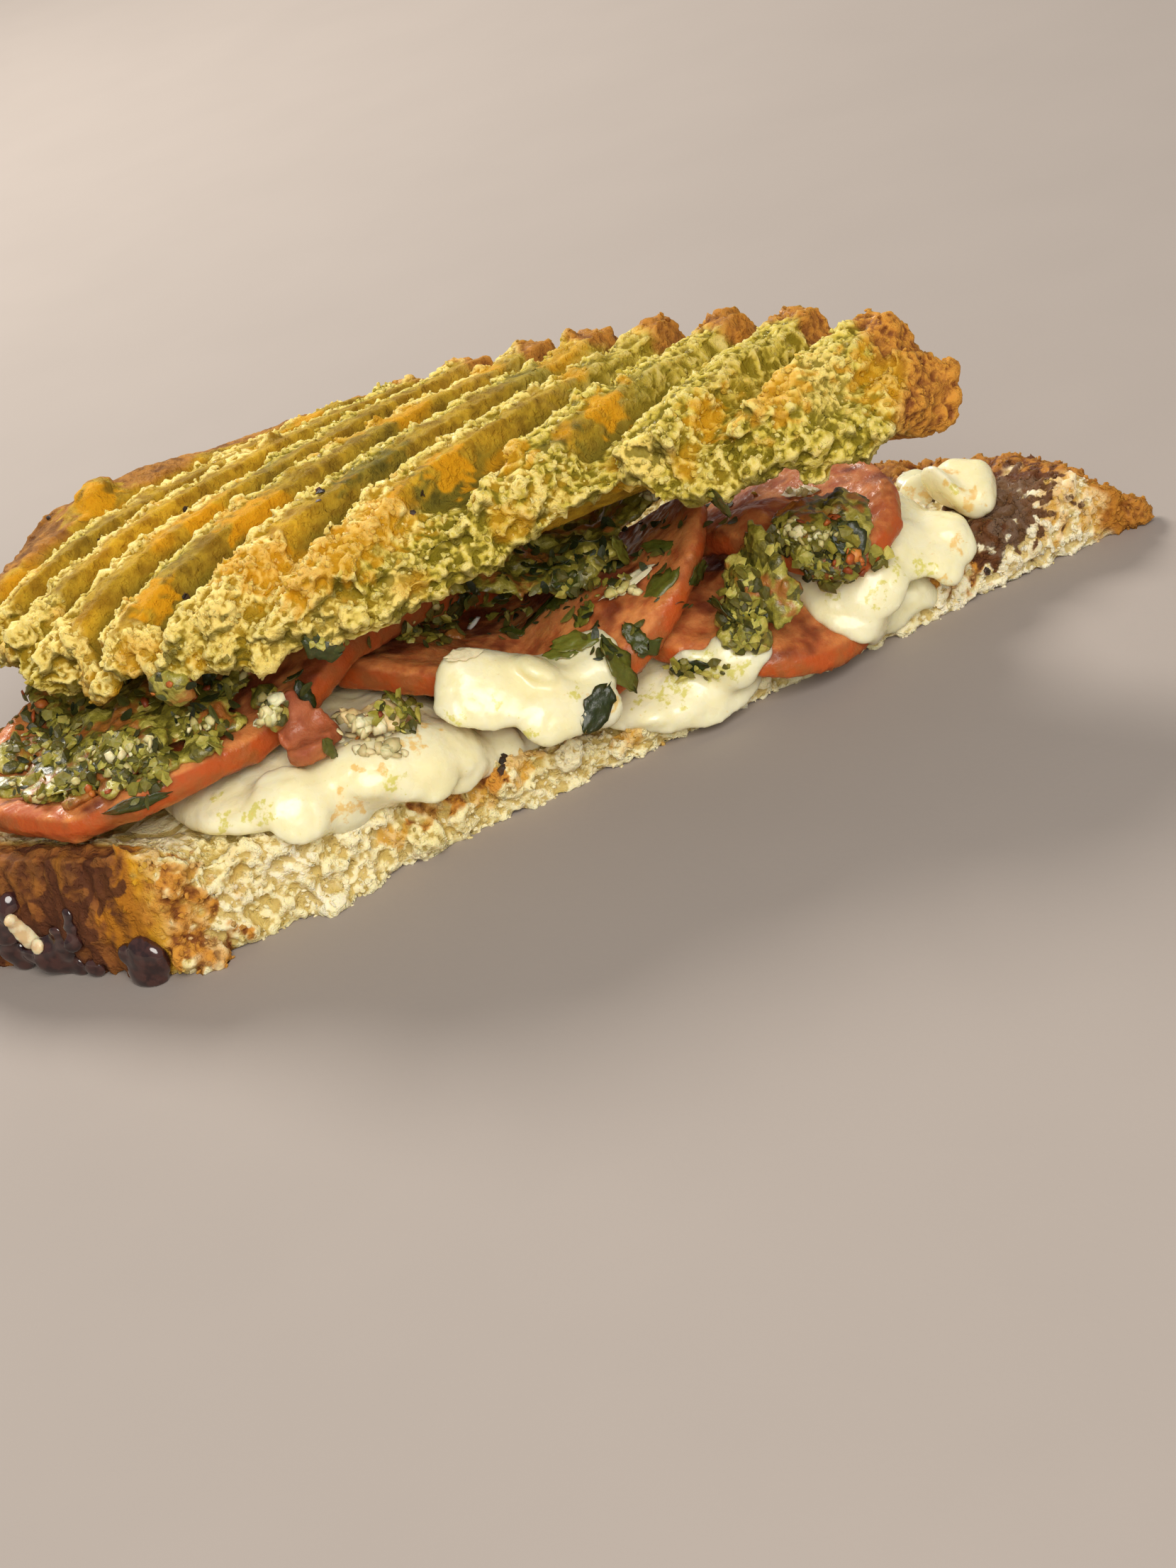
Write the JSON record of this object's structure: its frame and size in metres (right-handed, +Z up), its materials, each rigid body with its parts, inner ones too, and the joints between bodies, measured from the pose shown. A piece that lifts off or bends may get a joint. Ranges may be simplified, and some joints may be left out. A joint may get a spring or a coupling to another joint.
{
  "type": "caprese panini",
  "caption": "Cut half of a pressed caprese panini: ridged grilled bread over melted mozzarella, tomato slices and herb pesto.",
  "frame": {"origin": "middle of the bounding box at the underside, which rests on the table", "axes": "+X along the slanted cut towards the pointed end, -Y out of the cut face, +Z up"},
  "size_m": [0.1648, 0.117, 0.0463],
  "materials": {
    "lower_bread": "browned crust and porous crumb",
    "upper_bread": "rough toasted ridges, oily in the grooves",
    "mozzarella": "melted, glossy",
    "tomato": "wet",
    "pesto": "coarse and oily",
    "cheese_flake": "melted, pale brown"
  },
  "bodies": {
    "root": {"bottom_slice": "lower_bread", "mozzarella_1": "mozzarella", "mozzarella_2": "mozzarella", "mozzarella_3": "mozzarella", "mozzarella_4": "mozzarella", "mozzarella_5": "mozzarella", "tomato_1": "tomato", "tomato_2": "tomato", "tomato_3": "tomato", "tomato_4": "tomato", "tomato_scrap": "tomato", "pesto_left": "pesto", "pesto_middle": "pesto", "pesto_right": "pesto", "pesto_edge": "pesto", "pesto_cheese": "cheese_flake", "top_slice": "upper_bread"}
  },
  "joints": []
}
